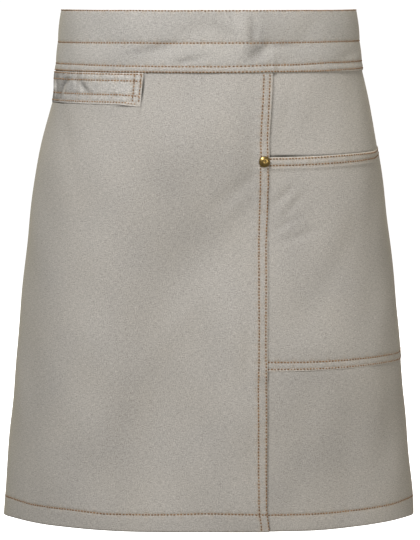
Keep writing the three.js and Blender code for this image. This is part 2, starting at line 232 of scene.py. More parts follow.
# Painted shade beside edges, in slits and creases and where folds turn from the light, painted light where
# negative: the same columns, depth as a share
SHADES = {
    "waistband": (
        (36, 20, 13, 2.6, 2, 0.24),
        (45, 17, 18, 8.0, 20, 0.1),
        (10, 16.5, 17, 5.0, -68, 0.13),
        (-58, 38.3, 20, 2.8, 82, 0.2),
        (-22, 48.0, 12, 2.6, 80, 0.16),
        (66, 28, 26, 22.0, 0, 0.1),
        (120, 25, 70, 50.0, 0, 0.04),
        (39, 38, 11, 8.0, 30, 0.3),
        (66, 33.2, 14, 1.6, 90, 0.16),
        (26, 20, 16, 6.0, 0, -0.05),
        (166, 52, 30, 22.0, 0, -0.2),
        (-122, 34, 50, 28.0, 0, -0.09),
    ),
    "side_panel": (
        (68, MOUTH - 0.9, 22, 1.3, 90, 0.88),
        (120, MOUTH - 0.9, 40, 1.1, 90, 0.45),
        (165, MOUTH - 2.0, 45, 1.2, 88.6, 0.5),
        (SEAM_EDGE + 0.9, 100, 48, 1.0, 0, 0.4),
        (SEAM_EDGE + 0.7, 425, 95, 0.9, 0, 0.4),
        (92, 430, 95, 50.0, 0, 0.07),
        (100, POCKET_LOW + 8, 60, 6.0, 90, 0.03),
        (180, 106, 36, 14.0, 0, 0.06),
    ),
    "pocket": (
        (80, POCKET_LOW - 0.6, 45, 0.9, 90, -0.28),
        (125, 147.6, 70, 0.8, 90, 0.16),
        (82, 205, 62, 17.0, 0, 0.09),
        (SEAM_EDGE + 0.8, 245, 120, 0.9, 0, 0.2),
    ),
    "front_panel": (
        (LOOP_FRONT + 0.8, 75.5, 14, 1.3, 5.7, 0.97),
        (-79, LOOP_LOW + 1.2, 9, 0.9, 90, 0.85),
        (LOOP_FRONT + 2.8, 76, 18, 0.8, 5.7, -0.15),
        (-40, 165, 60, 30.0, 80, 0.04),
        (34, 132, 34, 12.0, 0, 0.1),
        (-10, 226, 80, 30.0, 52, 0.03),
        (-86, 400, 80, 20.0, 4, 0.06),
        (-122, 245, 160, 27.0, 3, -0.11),
        (0, 385, 85, 30.0, 0, -0.03),
        (-60, 493, 300, 9.0, 90, 0.05),
        (RIVET_AROUND, RIVET_FOOT + 0.7, 4.5, 1.0, 90, -0.8),
    ),
    "towel_loop": (
        (-204, 77, 60, 40.0, 0, 0.42),
        (-172, 77, 60, 16.0, 0, 0.16),
        (-156, 76, 13, 4.0, 22, 0.3),
        (-141, 73, 10, 4.0, -12, 0.14),
        (-125.5, 75, 9, 2.4, -30, 0.34),
        (-158, 64.5, 5, 2.6, 0, 0.16),
        (-146, 64.5, 5, 2.6, 0, 0.16),
        (-132, 64.5, 5, 2.6, 0, 0.14),
        (-175.5, 77, 9, 2.4, 2, -0.6),
        (LOOP_FRONT - 1.8, 76, 17, 0.9, 5.7, 0.4),
        (LOOP_FRONT - 8.0, 76, 17, 0.9, 5.7, 0.3),
    ),
}
# Uneven hang of the cloth: waves along the pattern, with their length and height
RIPPLES = 9
RIPPLE_LENGTHS = (34.0, 120.0)
RIPPLE_HEIGHT = 0.16

# Thread: spacing, size and unevenness of a stitch, and the dent that a row makes
STITCH_PITCH = 3.05
STITCH_LENGTH = 2.3
STITCH_RADIUS = 0.68
STITCH_FLATNESS = 0.85
STITCH_SINK = 0.28
STITCH_LIFT = 0.16
STITCH_WANDER = 0.07
STITCH_UNEVEN = 0.05
ROW_DENT = 0.4
ROW_DENT_WIDTH = 1.3
ROW_END = 2.0
INNER_DENT = 0.5
ROW_PUCKER = 0.12
ROW_PUCKER_LENGTH = 8.5
ROW_PUCKER_WIDTH = 4.0
LONG_PUCKER = 1.7
LONG_PUCKER_SHARE = 0.7

# Grid of a cloth piece: close places at its rounded edges, and the width of the worn rim
EDGE_PLACES = np.array((0.0, 0.3, 0.9, 1.8))
CLOSEST_PLACES = 0.12
EDGE_RADIUS = 1.6
EDGE_THICKNESS = 0.3
WORN_WIDTH = 2.2

rng = np.random.default_rng(7)


# Body surface


def smooth(value, low, high):
    share = np.clip((value - low) / (high - low), 0.0, 1.0)
    return share * share * (3.0 - 2.0 * share)


def section_sizes(drop):
    """Half width, front depth and back depth at each drop, as a smooth line through the section rows."""
    at, values = SECTIONS[:, 0], SECTIONS[:, 1:]
    secants = np.diff(values, axis=0) / np.diff(at)[:, None]
    slopes = np.vstack([secants[:1], (secants[1:] + secants[:-1]) / 2, secants[-1:]])
    i = np.clip(np.searchsorted(at, drop, side="right") - 1, 0, len(at) - 2)
    span = (at[i + 1] - at[i])[:, None]
    t = (drop - at[i])[:, None] / span
    return (
        (2 * t**3 - 3 * t**2 + 1) * values[i]
        + (t**3 - 2 * t**2 + t) * span * slopes[i]
        + (3 * t**2 - 2 * t**3) * values[i + 1]
        + (t**3 - t**2) * span * slopes[i + 1]
    )


TABLE_STEP = 1.0
TABLE_DROPS = np.arange(-8.0, 512.0, TABLE_STEP)
TABLE_REACH = 560
TABLE_TURNS = 1201
TANGENT_STEP = 2.0


def section_table():
    """Points of every level section at equal steps along it, from the front centre round the +X side."""
    turn = np.linspace(0.0, math.pi, TABLE_TURNS)
    across = np.abs(np.sin(turn)) ** (2 / SECTION_POWER)
    ahead = np.sign(np.cos(turn)) * np.abs(np.cos(turn)) ** (2 / SECTION_POWER)
    grid = np.zeros((len(TABLE_DROPS), TABLE_REACH, 2))
    halves = np.zeros(len(TABLE_DROPS))
    places = np.arange(TABLE_REACH, dtype=float)
    for k, (half_width, front, back) in enumerate(section_sizes(TABLE_DROPS)):
        x = half_width * across
        y = -np.where(turn < math.pi / 2, front, back) * ahead
        length = np.concatenate([[0.0], np.cumsum(np.hypot(np.diff(x), np.diff(y)))])
        halves[k] = length[-1]
        past = places > length[-1]
        reach = np.where(past, 2 * length[-1] - places, places)
        grid[k, :, 0] = np.interp(reach, length, x) * np.where(past, -1.0, 1.0)
        grid[k, :, 1] = np.interp(reach, length, y)
    return grid, halves


SECTION_GRID, SECTION_HALVES = section_table()


def half_girth(drop):
    return np.interp(drop, TABLE_DROPS, SECTION_HALVES)


def on_section(around, drop):
    side = np.where(around < 0, -1.0, 1.0)
    column = np.clip(np.abs(around), 0.0, TABLE_REACH - 1.001)
    row = np.clip((drop - TABLE_DROPS[0]) / TABLE_STEP, 0.0, len(TABLE_DROPS) - 1.001)
    i, j = column.astype(int), row.astype(int)
    s, t = (column - i)[..., None], (row - j)[..., None]
    upper = SECTION_GRID[j, i] * (1 - s) + SECTION_GRID[j, i + 1] * s
    lower = SECTION_GRID[j + 1, i] * (1 - s) + SECTION_GRID[j + 1, i + 1] * s
    point = upper * (1 - t) + lower * t
    return np.stack([point[..., 0] * side, point[..., 1]], axis=-1)


def fold_depth(folds, around, drop):
    depth = np.zeros_like(around)
    for centre, level, half_length, half_width, lean, height in folds:
        turn = math.radians(lean)
        right, up = around - centre, level - drop
        along = (right * math.sin(turn) + up * math.cos(turn)) / half_length
        across = (right * math.cos(turn) - up * math.sin(turn)) / half_width
        depth += height * np.exp(-along * along - across * across)
    return depth


def seam_drift(around, drop):
    beside = np.exp(-(((around - SEAM_EDGE) / SEAM_DRIFT_WIDTH) ** 2))
    high = SEAM_DRIFT * (1 - smooth(drop, BAND_HEIGHT, SEAM_DRIFT_END))
    lean = SEAM_LEAN * (1 - smooth(drop, SEAM_LEAN_START, POCKET_LOW))
    low = HEM_DRIFT * smooth(drop, APRON_LENGTH - 1.5 * HEM, APRON_LENGTH)
    return beside * (high + lean + low)


def skin(around, drop):
    moved = around + seam_drift(around, drop)
    point = on_section(moved, drop)
    along = on_section(moved + TANGENT_STEP, drop) - on_section(moved - TANGENT_STEP, drop)
    along /= np.linalg.norm(along, axis=-1, keepdims=True)
    outward = np.stack([along[..., 1], -along[..., 0]], axis=-1)
    point = point + outward * fold_depth(FOLDS, around, drop)[..., None]
    dip = BACK_DIP * smooth(np.abs(around), HALF / 2, HALF)
    hanging = smooth(drop, HEM_SAG_START, APRON_LENGTH)
    for centre, half_width, depth in HEM_SAGS:
        dip = dip + depth * np.exp(-(((around - centre) / half_width) ** 2)) * hanging
    height = BAND_HEIGHT / 2 - drop - dip
    return np.concatenate([point, height[..., None]], axis=-1)


def outward_at(around, drop, step=2.5):
    right = skin(around + step, drop) - skin(around - step, drop)
    up = skin(around, drop - step) - skin(around, drop + step)
    normal = np.cross(right, up)
    return normal / np.linalg.norm(normal, axis=-1, keepdims=True)


def draped(around, drop, lift):
    return skin(around, drop) + outward_at(around, drop) * lift[..., None]


# Layers: how far the two faces of each piece lie out from the body side of the panels


def on_lap(around):
    return smooth(around, SEAM_START - LAP_RISE, SEAM_START - GAP)


def pocket_under_lap(drop):
    near, far = LAP_EASE
    return smooth(drop, MOUTH - far, MOUTH - near) * (1 - smooth(drop, POCKET_LOW + near, POCKET_LOW + far))


def lap_lift(around, drop):
    return on_lap(around) * PANEL_LAYER * (1 + pocket_under_lap(drop))


def hem_turn(around, drop):
    before, after = TURN_STEP
    low = smooth(drop, APRON_LENGTH - HEM + before, APRON_LENGTH - HEM + after)
    side = smooth(np.abs(around), HALF - SIDE_HEM + before, HALF - SIDE_HEM + after)
    return -HEM_TURN * np.maximum(low, side)


def pocket_stand(around, drop):
    share = np.clip((around - POCKET_FREE) / (POCKET_SNUG - POCKET_FREE), 0, 1)
    across = np.sin(np.pi * share**POCKET_SKEW) ** 2
    down = np.cos(np.pi / 2 * np.clip((drop - MOUTH) / (POCKET_LOW - POCKET_SEWN - MOUTH), 0, 1))
    return POCKET_SAG * across * down


def loop_stand(around):
    front, back = LOOP_FRONT - LOOP_SEWN_FRONT, LOOP_BACK + LOOP_SEWN_BACK
    return LOOP_STAND * np.sin(np.pi * np.clip((around - back) / (front - back), 0, 1) ** LOOP_SKEW) ** 2


def band_puff(drop):
    puff = np.zeros_like(drop)
    for high, low in zip(BAND_ROWS[:-1], BAND_ROWS[1:]):
        share = np.clip((drop - high) / (low - high), 0, 1)
        puff += BAND_PUFF * np.sin(np.pi * share) * min(1.0, (low - high) / BAND_FULL_PUFF)
    return puff


def lip_lift(around):
    over = on_lap(around) * (1 - smooth(around, SEAM_EDGE + GAP, SEAM_EDGE + LAP_RISE))
    return PANEL_LAYER * (1 + over)


def band_outer(around, drop):
    on_panel = smooth(drop, LIP_TOP - LIP_EASE, LIP_TOP) * (lip_lift(around) + CLOTH - BAND_CLOTH)
    return BAND_CLOTH + on_panel + band_puff(drop)


def band_inner(around, drop):
    return lip_lift(around) * smooth(drop, LIP_TOP, LIP_TOP + LIP_STEP)


def front_outer(around, drop):
    return lap_lift(around, drop) + CLOTH


def front_inner(around, drop):
    return lap_lift(around, drop) + hem_turn(around, drop) * (1 - on_lap(around))


def side_outer(around, drop):
    return np.full_like(around, CLOTH)


def pocket_inner(around, drop):
    return PANEL_LAYER + pocket_stand(around, drop)


def pocket_outer(around, drop):
    """The cloth thins where it lies flat round the hip and along the foot."""
    hem_low = MOUTH + MOUTH_HEM
    hemmed = (1 - smooth(drop, hem_low, hem_low + MOUTH_HEM_STEP)) * smooth(around, SEAM_EDGE, SEAM_EDGE + 1)
    thick = CLOTH + (MOUTH_HEM_CLOTH - CLOTH) * hemmed
    flat = np.maximum(smooth(around, *POCKET_FLAT), smooth(drop, POCKET_LOW - FOOT_TAPER, POCKET_LOW))
    return pocket_inner(around, drop) + thick + (POCKET_EDGE_CLOTH - thick) * flat


def pocket_place(around, drop):
    """The pocket's rows rise towards the hip and sweep up where they turn round it."""
    share = (drop - MOUTH) / (POCKET_LOW - MOUTH)
    turn = POCKET_TURN[0] + (POCKET_TURN[1] - POCKET_TURN[0]) * share
    rise = MOUTH_RISE * (1 - FOOT_RISE_LOSS * share) * smooth(around, *RISE_SPAN)
    sweep = POCKET_SWEEP * smooth(around, turn + SWEEP_SPAN[0], turn + SWEEP_SPAN[1])
    return around, drop - rise - sweep


def loop_inner(around, drop):
    return PANEL_LAYER + loop_stand(around) * (1 - smooth(drop, BAND_HEIGHT, LOOP_LOW))


def loop_outer(around, drop):
    thin = smooth(drop, BAND_HEIGHT, LOOP_LOW)
    return loop_inner(around, drop) + LOOP_CLOTH + (LOOP_EDGE_CLOTH - LOOP_CLOTH) * thin


def loop_place(around, drop):
    """The sewn end is a little wider than the rest of the strap, and cut aslant."""
    share = (drop - BAND_HEIGHT) / (LOOP_LOW - BAND_HEIGHT)
    slant = LOOP_SLANT * (0.5 - share) * smooth(around, LOOP_SLANT_START, LOOP_FRONT)
    flare = LOOP_SPREAD * share * smooth(around, LOOP_FLARE, LOOP_FRONT)
    return around + slant, drop + flare


def tie_inner(around, drop):
    return np.full_like(around, BAND_CLOTH + BAND_PUFF + GAP)


def tie_outer(around, drop):
    return tie_inner(around, drop) + TIE_CLOTH


# Stitch rows: each is a path through (around, drop) places, those of the lap measured from the seam's edge
LOOP_BACK_ROWS = (2.4, 9.2)
LOOP_ROWS = (61.6, 67.6, 81.0, 88.1)
LOOP_END_ROWS = (1.8, 8.0)
LOOP_ROW_SPAN = (61.5, 90)
POCKET_SIDE_ROWS = (2.6, 9.4)
TIE_ROWS = (3.0, 15.0, 85.0, 97.0)
TIE_ROW_SPAN = (TIE_TOP + 2, TIE_TOP + TIE_WIDTH - 2)
LAP_ROWS = (
    ((-9.0, 61), (-8.8, 134), (-8.3, 180), (-8.7, 270), (-8.7, 310), (-9.5, 372), (-8.9, 430), (-7.9, 499)),
    ((-3.3, 61), (-3.2, 80), (-2.2, 134), (-0.9, 165), (-1.0, 200), (-1.8, 225), (-2.2, 308), (-1.6, 373))
    + ((-1.4, 440), (-0.6, 499)),
)
PATHS = {
    "waistband": [
        [(-HALF + 2, 0.9), (HALF - 2, 0.9)],
        [(-HALF + 2, 32.2), (-135, 32.0), (-60, 31.6), (40, 31.6), (90, 31.3), (140, 30.9), (HALF - 2, 30.7)],
        [(-HALF + 2, 52.8), (-140, 52.9), (-55, 54.1), (15, 54.1), (42, 53.0), (85, 52.4)]
        + [(120, 50.9), (HALF - 2, 50.3)],
        [(-HALF + 2, 59.0), (-60, 59.3), (20, 59.3), (50, 58.8), (110, 58.8), (145, 57.8), (HALF - 2, 57.8)],
        [(-HALF + 2, 1), (-HALF + 2, 58)],
        [(HALF - 2, 1), (HALF - 2, 58)],
    ],
    "front_panel": [[(SEAM_EDGE + at, drop) for at, drop in row] for row in LAP_ROWS]
    + [
        [(-HALF + 1, 480.4), (-222, 480.8), (-187, 482.3), (-135, 482.3), (-100, 483.7)]
        + [(-38, 483.4), (-8, 482.2), (21, 482.0), (SEAM_EDGE - 0.5, 483.2)],
        [(-HALF + SIDE_ROW, BAND_HEIGHT + 1), (-HALF + SIDE_ROW, APRON_LENGTH - 1)],
    ],
    "side_panel": [
        [(SEAM_EDGE, 483.8), (150, 484.0), (200, 483.3), (235, 481.0), (HALF - 1, 482.0)],
        [(HALF - SIDE_ROW, BAND_HEIGHT + 1), (HALF - SIDE_ROW, APRON_LENGTH - 1)],
    ],
    "pocket": [
        [(SEAM_EDGE - 0.5, 141.6), (POCKET_END - 1, 141.6)],
        [(SEAM_EDGE - 0.5, 147.9), (150, 147.6), (205, 146.0), (POCKET_END - 1, 146.0)],
        [(SEAM_EDGE - 0.5, 336.2), (90, 336.8), (POCKET_END - 1, 336.8)],
        [(SEAM_EDGE - 0.5, 343.0), (90, 343.4), (POCKET_END - 1, 343.4)],
    ]
    + [[(POCKET_END - inset, MOUTH), (POCKET_END - inset, POCKET_LOW)] for inset in POCKET_SIDE_ROWS],
    "towel_loop": [[(LOOP_BACK + 1, drop), (LOOP_FRONT - 1, drop)] for drop in LOOP_ROWS]
    + [[(LOOP_FRONT - inset, drop) for drop in LOOP_ROW_SPAN] for inset in LOOP_END_ROWS]
    + [[(LOOP_BACK + inset, drop) for drop in LOOP_ROW_SPAN] for inset in LOOP_BACK_ROWS],
    "back_tie": [[(at, drop) for drop in TIE_ROW_SPAN] for at in TIE_ROWS],
}


def steps(paths):
    """The straight lengths of the paths, one after another."""
    return [step for path in paths for step in zip(path[:-1], path[1:])]


ROWS = {piece: steps(paths) for piece, paths in PATHS.items()}


def row_dent(rows, around, drop):
    """The dent of each row, with the slight pucker that its thread pulls into the cloth."""
    depth = np.zeros_like(around)
    for k, (start, end) in enumerate(rows):
        start, end = np.array(start), np.array(end)
        length = np.linalg.norm(end - start)
        along = (end - start) / length
        right, down = around - start[0], drop - start[1]
        at = right * along[0] + down * along[1]
        off = np.abs(right * along[1] - down * along[0])
        ends = smooth(at, -ROW_END, ROW_END) * (1 - smooth(at, length - ROW_END, length + ROW_END))
        depth -= ROW_DENT * np.exp(-((off / ROW_DENT_WIDTH) ** 2)) * ends
        wave = np.sin(2 * np.pi * at / ROW_PUCKER_LENGTH + k)
        wave += LONG_PUCKER_SHARE * np.sin(2 * np.pi * at / (LONG_PUCKER * ROW_PUCKER_LENGTH))
        depth += ROW_PUCKER * wave * np.exp(-((off / ROW_PUCKER_WIDTH) ** 2)) * ends
    return depth


ripple_turn = rng.uniform(0, np.pi, RIPPLES)
ripple_length = rng.uniform(*RIPPLE_LENGTHS, RIPPLES)
ripple_start = rng.uniform(0, 2 * np.pi, RIPPLES)


def ripple(around, drop):
    height = np.zeros_like(around)
    for turn, length, start in zip(ripple_turn, ripple_length, ripple_start):
        height += np.sin(2 * np.pi * (around * math.cos(turn) + drop * math.sin(turn)) / length + start)
    return height * RIPPLE_HEIGHT


# Meshes


def stations(low, high, step, extra=()):
    """Places from low to high with close ones at both ends, for a rounded edge, and at the extra places."""
    inset = EDGE_PLACES[-1]
    count = max(2, int(round((high - low - 2 * inset) / step)))
    middle = np.linspace(low + inset, high - inset, count + 1)
    places = np.concatenate([low + EDGE_PLACES, middle, high - EDGE_PLACES, np.array(extra, dtype=float)])
    places = np.unique(places.round(4))
    return places[np.concatenate([[True], np.diff(places) > CLOSEST_PLACES])]


def edge_roundness(place, low, high, radius):
    """1 away from the ends of a range, less towards them, as for a rounded edge."""
    inset = np.clip(np.minimum(place - low, high - place) / radius, 0.0, 1.0)
    return EDGE_THICKNESS + (1 - EDGE_THICKNESS) * np.sqrt(1 - (1 - inset) ** 2)


def new_object(name, points, faces, uv_of_vertex, attributes, material):
    mesh = bpy.data.meshes.new(name)
    mesh.from_pydata((points * MM).tolist(), [], faces)
    layer = mesh.uv_layers.new(name="pattern")
    corner = np.empty(len(mesh.loops), dtype=np.int32)
    mesh.loops.foreach_get("vertex_index", corner)
    layer.data.foreach_set("uv", (uv_of_vertex[corner] * MM).astype(np.float32).ravel())
    for key, values in attributes.items():
        store = mesh.attributes.new(key, "FLOAT", "POINT")
        store.data.foreach_set("value", values.astype(np.float32).ravel())
    mesh.polygons.foreach_set("use_smooth", [True] * len(mesh.polygons))
    mesh.materials.append(material)
    mesh.validate()
    mesh.update()
    thing = bpy.data.objects.new(name, mesh)
    bpy.context.scene.collection.objects.link(thing)
    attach(thing, "root")
    return thing


def cloth(name, columns, rows, inner, outer, material, place=None):
    """A closed cloth piece over a grid of the pattern, with rounded edges, creases and stitched rows."""
    across, down = np.meshgrid(columns, rows)
    around, drop = place(across, down) if place else (across, down)
    low, high = inner(across, down), outer(across, down)
    round_u = edge_roundness(across, columns[0], columns[-1], EDGE_RADIUS)
    round_v = edge_roundness(down, rows[0], rows[-1], EDGE_RADIUS)
    dent = row_dent(ROWS[name], across, down)
    shape = ripple(around, drop) + fold_depth(CREASES[name], around, drop)
    thick = (high - low) * np.minimum(round_u, round_v)
    lifts = (low + shape + thick + dent, low + shape - INNER_DENT * dent)
    points = np.concatenate([draped(around, drop, lift).reshape(-1, 3) for lift in lifts])
    deep, wide = around.shape
    index = np.arange(deep * wide).reshape(deep, wide)
    a, b, c, d = index[:-1, :-1], index[1:, :-1], index[1:, 1:], index[:-1, 1:]
    front = np.stack([a, b, c, d], axis=-1).reshape(-1, 4)
    back = front[:, ::-1] + deep * wide
    rim = np.concatenate([index[0, :-1], index[:-1, -1], index[-1, :0:-1], index[:0:-1, 0]])
    nxt = np.roll(rim, -1)
    side = np.stack([rim, nxt, nxt + deep * wide, rim + deep * wide], axis=-1)
    faces = np.concatenate([front, back, side]).tolist()
    uv = np.column_stack([around.ravel(), -drop.ravel()])
    margin_u = np.minimum(across - columns[0], columns[-1] - across)
    margin_v = np.minimum(down - rows[0], rows[-1] - down)
    worn = np.exp(-((np.minimum(margin_u, margin_v) / WORN_WIDTH) ** 2)).ravel()
    # Share of a row's dent, which the canvas uses for painted shade and a tint of thread fibre
    sewn = np.clip(-dent / ROW_DENT, 0, 1).ravel()
    # Painted shade, and painted light where negative, for the canvas colour
    shade = fold_depth(SHADES.get(name, ()), around, drop).ravel()
    attributes = {
        "worn": np.concatenate([worn, worn]),
        "sewn": np.concatenate([sewn, INNER_DENT * sewn]),
        "shade": np.concatenate([shade, np.zeros_like(shade)]),
    }
    return new_object(name + "_cloth", points, faces, np.concatenate([uv, uv]), attributes, material)


def capsule():
    """One stitch along +X: its ends sink and taper. Returns points and faces."""
    rings = ((-0.82, 0.62), (-0.38, 1.0), (0.38, 1.0), (0.82, 0.62))
    sides = 6
    points = [(-1.0, 0.0, 0.0)]
    for at, size in rings:
        for k in range(sides):
            turn = 2 * math.pi * k / sides
            points.append((at, size * math.cos(turn), size * math.sin(turn)))
    points.append((1.0, 0.0, 0.0))
    faces = [(0, 1 + (k + 1) % sides, 1 + k) for k in range(sides)]
    for ring in range(len(rings) - 1):
        base = 1 + ring * sides
        for k in range(sides):
            n = (k + 1) % sides
            faces.append((base + k, base + n, base + sides + n, base + sides + k))
    last = len(points) - 1
    base = last - sides
    faces += [(last, base + k, base + (k + 1) % sides) for k in range(sides)]
    return np.array(points), faces


def stitches(name, rows, lift, material, inner=False, place=None):
    """The thread of all rows of a piece as one mesh, lying on the given lift."""
    shape, shape_faces = capsule()
    points, faces, uvs = [], [], []
    for start, end in rows:
        start, end = np.array(start, float), np.array(end, float)
        length = np.linalg.norm(end - start)
        count = int(length / STITCH_PITCH)
        share = (np.arange(count) + 0.5) / count
        spots = start + (end - start) * share[:, None]
        spots = spots + rng.normal(0, STITCH_WANDER, spots.shape)
        step = (end - start) / length
        across, down = spots[:, 0], spots[:, 1]
        around, drop = place(across, down) if place else (across, down)
        sunk = row_dent(ROWS[name], across, down) * (INNER_DENT if inner else 1.0)
        relief = ripple(around, drop) + fold_depth(CREASES[name], around, drop)
        sign = -1.0 if inner else 1.0
        height = lift(across, down) + relief + sign * (sunk + STITCH_LIFT)
        centre = draped(around, drop, height)
        ahead = draped(around + step[0], drop + step[1], height) - centre
        ahead /= np.linalg.norm(ahead, axis=1, keepdims=True)
        normal = outward_at(around, drop) * sign
        aside = np.cross(normal, ahead)
        stand = shape[:, 2] * STITCH_RADIUS * STITCH_FLATNESS - STITCH_SINK * shape[:, 0] ** 2
        long = STITCH_LENGTH / 2 * (1 + rng.normal(0, STITCH_UNEVEN, count))
        for k in range(count):
            local = (
                np.outer(shape[:, 0] * long[k], ahead[k])
                + np.outer(shape[:, 1] * STITCH_RADIUS, aside[k])
                + np.outer(stand, normal[k])
            )
            base = len(points) * len(shape)
            points.append(centre[k] + local)
            uv_along, uv_aside = around[k] + shape[:, 0] * long[k], drop[k] + shape[:, 1] * STITCH_RADIUS
            uvs.append(np.column_stack([uv_along, uv_aside]))
            faces += [tuple(v + base for v in face) for face in shape_faces]
    label = name + ("_inner_thread" if inner else "_thread")
    return new_object(label, np.concatenate(points), faces, np.concatenate(uvs), {}, material)


# Materials


class Nodes:
    """Short forms for building a material's nodes."""

    def __init__(self, name):
        self.material = bpy.data.materials.new(name)
        self.material.use_nodes = True
        self.tree = self.material.node_tree
        self.shader = self.tree.nodes["Principled BSDF"]

    def add(self, kind, inputs=None, **settings):
        node = self.tree.nodes.new(kind)
        for key, value in settings.items():
            setattr(node, key, value)
        for key, value in (inputs or {}).items():
            socket = node.inputs[key]
            if isinstance(value, bpy.types.NodeSocket):
                self.tree.links.new(value, socket)
            else:
                socket.default_value = value
        return node

    def math(self, operation, a, b=0.0):
        return self.add("ShaderNodeMath", {0: a, 1: b}, operation=operation).outputs[0]

    def scaled(self, vector, scale):
        return self.add("ShaderNodeMapping", {"Vector": vector, "Scale": scale}).outputs["Vector"]

    def noise(self, vector, scale, detail=2.0, rough=0.5):
        inputs = {"Vector": vector, "Scale": scale, "Detail": detail, "Roughness": rough}
        return self.add("ShaderNodeTexNoise", inputs, noise_dimensions="3D").outputs["Fac"]

    def ramp(self, factor, low, high, to_low, to_high):
        inputs = {"Value": factor, "From Min": low, "From Max": high, "To Min": to_low, "To Max": to_high}
        return self.add("ShaderNodeMapRange", inputs).outputs["Result"]

    def attribute(self, name):
        return self.add("ShaderNodeAttribute", attribute_name=name).outputs["Fac"]

    def set(self, **values):
        for key, value in values.items():
            socket = self.shader.inputs[key.replace("_", " ")]
            if isinstance(value, bpy.types.NodeSocket):
                self.tree.links.new(value, socket)
            else:
                socket.default_value = value


# Canvas: size and share of each part of its colour and relief, in millimetres of the pattern
TO_MM = (1000, 1000, 1000)
THREAD_PITCH = 0.62
THREAD_FUZZ = (0.47, 0.355, 0.24)
FUZZ_SHARE = 0.4
SLUB_STRETCH = (0.22, 1.5)
SLUB_ACROSS = 0.19
SLUB_DOWN = 0.14
MOTTLE_SCALE = 0.98
MOTTLE = 0.33
CLOUD_SCALE = 0.018
CLOUD = 0.035
CLOUD_TINT = (1.0, 0.992, 0.975)
WEAVE = 0.05
WORN_PALER = 0.10
# Painted shade in the dents of the stitched rows
SEWN_SHADE = -0.07
WEAVE_RELIEF = 0.35
SLUB_RELIEF = 0.9
MOTTLE_RELIEF = 0.8
SHEEN_TINT = (1.0, 0.9, 0.6, 1)
THREAD_TWIST = 14.0


def canvas(name, colour, seed, sheen=0.25):
    """Matt cotton canvas: plain weave, slubs along both threads, mottled dye, paler worn edges, painted shade
    in the stitched dents, and painted shade and painted light from the shade attribute.
    """
    n = Nodes(name)
    uv = n.add("ShaderNodeUVMap", uv_map="pattern").outputs["UV"]
    mapping = {"Vector": uv, "Location": (seed, seed * 1.7, seed), "Scale": TO_MM}
    pattern = n.add("ShaderNodeMapping", mapping).outputs["Vector"]
    axes = n.add("ShaderNodeSeparateXYZ", {"Vector": pattern})
    warp = n.math("SINE", n.math("MULTIPLY", axes.outputs["X"], math.pi / THREAD_PITCH))
    weft = n.math("SINE", n.math("MULTIPLY", axes.outputs["Y"], math.pi / THREAD_PITCH))
    weave = n.math("MULTIPLY", warp, weft)
    slub_across = n.noise(n.scaled(pattern, (*SLUB_STRETCH, 1)), 1.0, 2.0, 0.6)
    slub_down = n.noise(n.scaled(pattern, (*SLUB_STRETCH[::-1], 1)), 1.0, 2.0, 0.6)
    mottle = n.noise(pattern, MOTTLE_SCALE, 2.0, 0.6)
    cloud = n.noise(pattern, CLOUD_SCALE, 3.0, 0.55)
    value = n.ramp(slub_across, 0.25, 0.75, -SLUB_ACROSS, SLUB_ACROSS)
    for part in (
        n.ramp(slub_down, 0.25, 0.75, -SLUB_DOWN, SLUB_DOWN),
        n.ramp(mottle, 0.25, 0.75, -MOTTLE, MOTTLE),
        n.ramp(cloud, 0.3, 0.7, -CLOUD, CLOUD),
        n.ramp(weave, -1.0, 1.0, -WEAVE, WEAVE),
        n.math("MULTIPLY", n.attribute("worn"), WORN_PALER),
        n.math("MULTIPLY", n.attribute("sewn"), SEWN_SHADE),
        1.0,
    ):
        value = n.math("ADD", value, part)
    # Painted shade from the shade attribute darkens the colour, and painted light brightens it where the
    # attribute is negative
    value = n.math("MULTIPLY", value, n.math("SUBTRACT", 1.0, n.attribute("shade")))
    tint = n.add("ShaderNodeMix", {"Factor": n.ramp(cloud, 0.3, 0.7, 0.0, 1.0)}, data_type="RGBA")
    tint.inputs["A"].default_value = (*colour, 1)
    tint.inputs["B"].default_value = (*(c * share for c, share in zip(colour, CLOUD_TINT)), 1)
    fuzzy = n.math("MULTIPLY", n.attribute("sewn"), FUZZ_SHARE)
    fibre = n.add("ShaderNodeMix", {"Factor": fuzzy}, data_type="RGBA")
    n.tree.links.new(tint.outputs["Result"], fibre.inputs["A"])
    fibre.inputs["B"].default_value = (*THREAD_FUZZ, 1)
    shade = n.add("ShaderNodeVectorMath", {0: fibre.outputs["Result"]}, operation="SCALE")
    n.tree.links.new(value, shade.inputs["Scale"])
    slubs = n.math("MULTIPLY", n.math("ADD", slub_across, slub_down), SLUB_RELIEF)
    height = n.math("ADD", n.math("MULTIPLY", weave, WEAVE_RELIEF), slubs)
    height = n.math("ADD", height, n.math("MULTIPLY", mottle, MOTTLE_RELIEF))
    bump = n.add("ShaderNodeBump", {"Height": height, "Strength": 0.35, "Distance": 0.00025})
    rough = n.ramp(mottle, 0.3, 0.7, 0.86, 0.97)
    n.set(Base_Color=shade.outputs["Vector"], Roughness=rough, Normal=bump.outputs["Normal"])
    n.set(Sheen_Weight=sheen, Sheen_Roughness=0.6, Sheen_Tint=SHEEN_TINT, Specular_IOR_Level=0.25)
    return n.material


